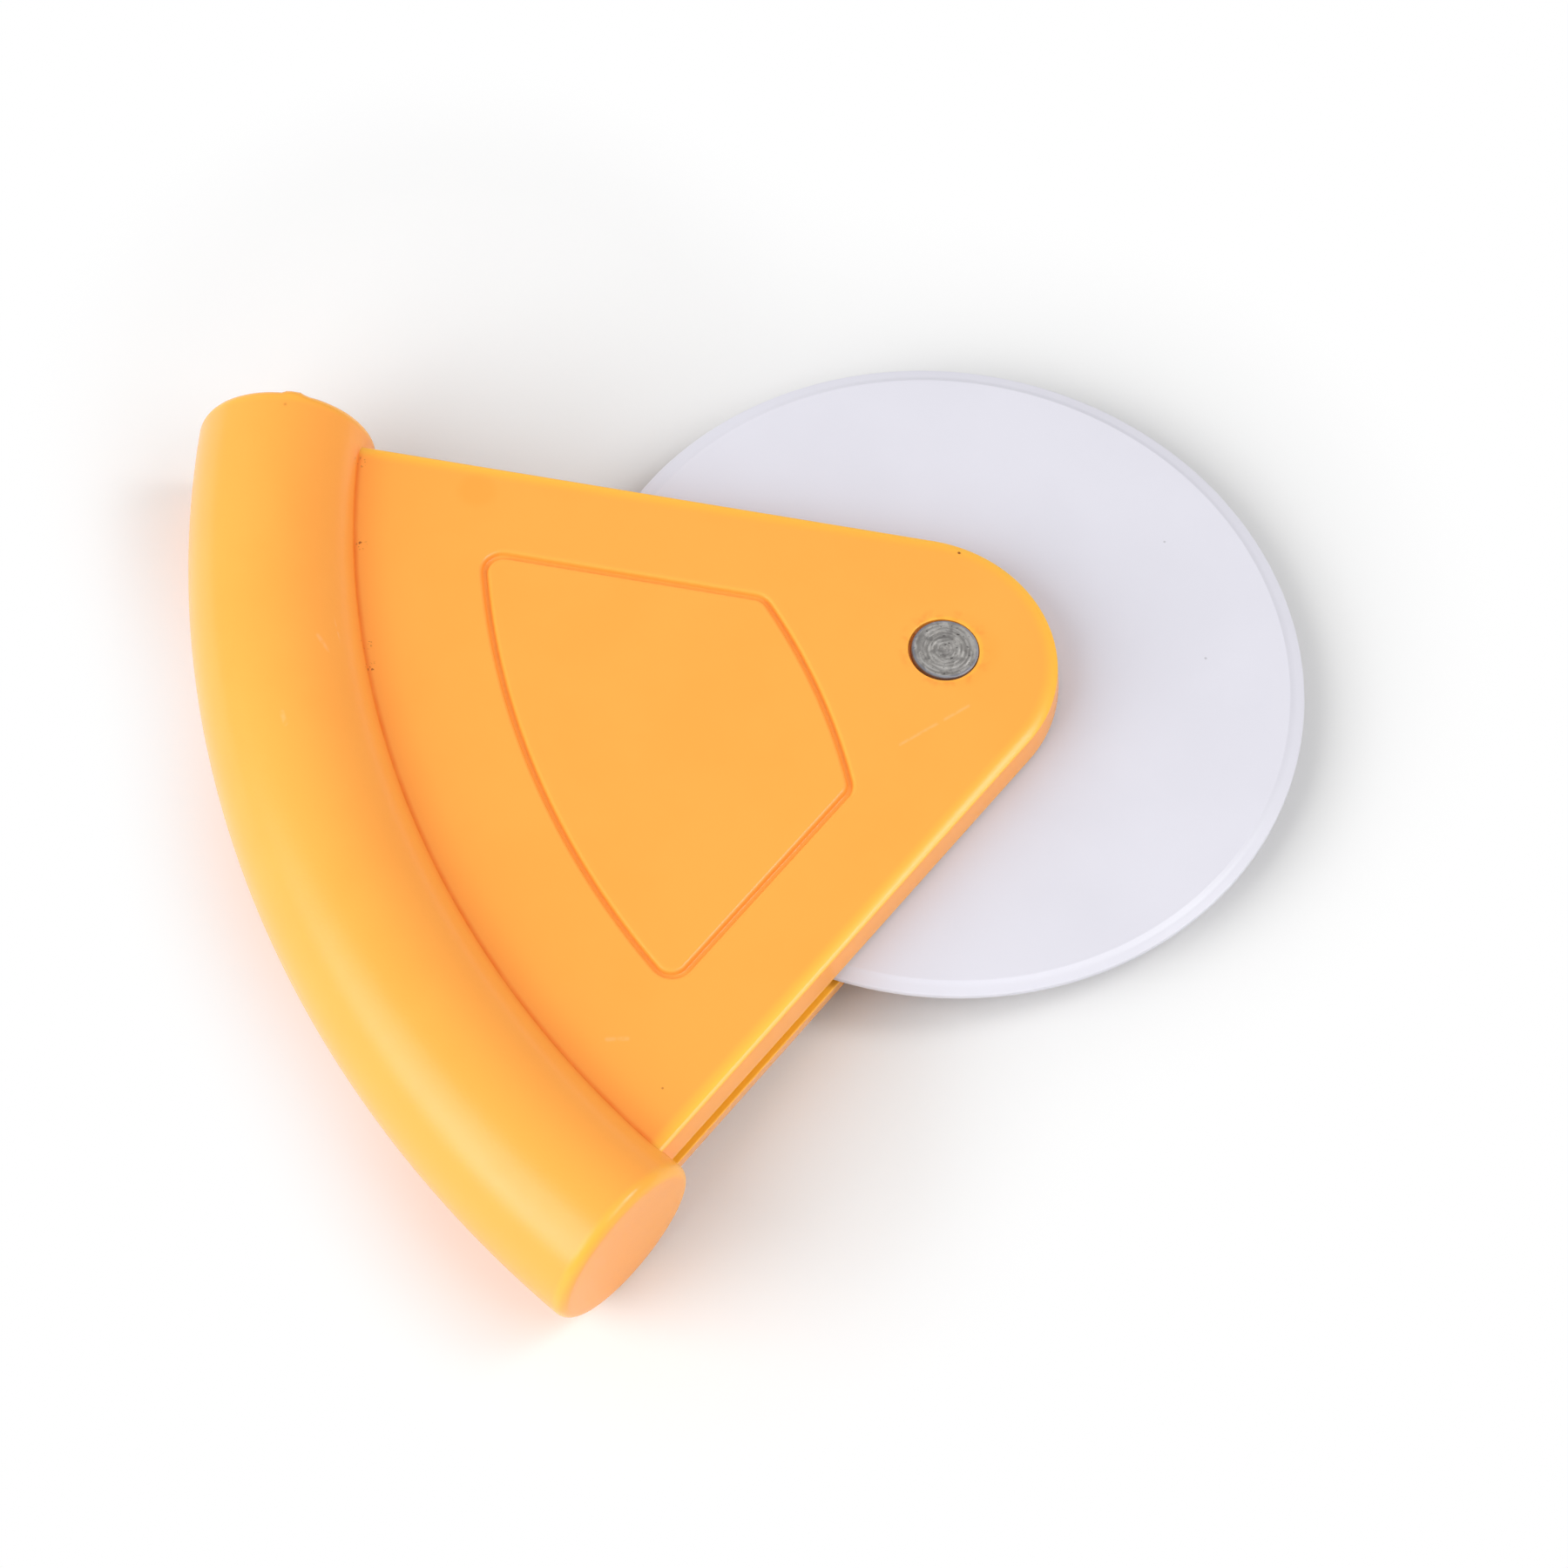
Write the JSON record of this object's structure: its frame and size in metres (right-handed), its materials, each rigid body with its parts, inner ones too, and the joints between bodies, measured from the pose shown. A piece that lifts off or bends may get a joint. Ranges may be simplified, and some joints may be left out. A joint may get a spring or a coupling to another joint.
{
  "type": "pizza wheel",
  "caption": "Pizza cutter: a bevelled plastic disc turns on a flush rivet between two flat wedge cheeks, which plug into a curved rounded grip shaped as the crust of a slice.",
  "frame": {"origin": "middle of the overall box, half way through the slot that the wheel turns in", "axes": "+X from the crust to the wheel, +Z along the axle and out of the front face, +Y along the crust"},
  "size_m": [0.0956, 0.0908, 0.0158],
  "materials": {
    "crust_plastic": "satin moulded",
    "cheek_plastic": "satin moulded",
    "wheel_plastic": "satin moulded",
    "rivet_steel": "turned"
  },
  "bodies": {
    "handle": {"crust_grip": "crust_plastic", "front_cheek": "cheek_plastic", "rear_cheek": "cheek_plastic", "rivet_sleeve": "rivet_steel", "rivet_pin": "rivet_steel"},
    "wheel": {"cutting_wheel": "wheel_plastic"}
  },
  "joints": [
    {"name": "wheel_spin", "type": "hinge", "parent": "handle", "child": "wheel", "pos_m": [0.01584, 0, 0], "axis": [0, 0, 1], "continuous": true}
  ]
}
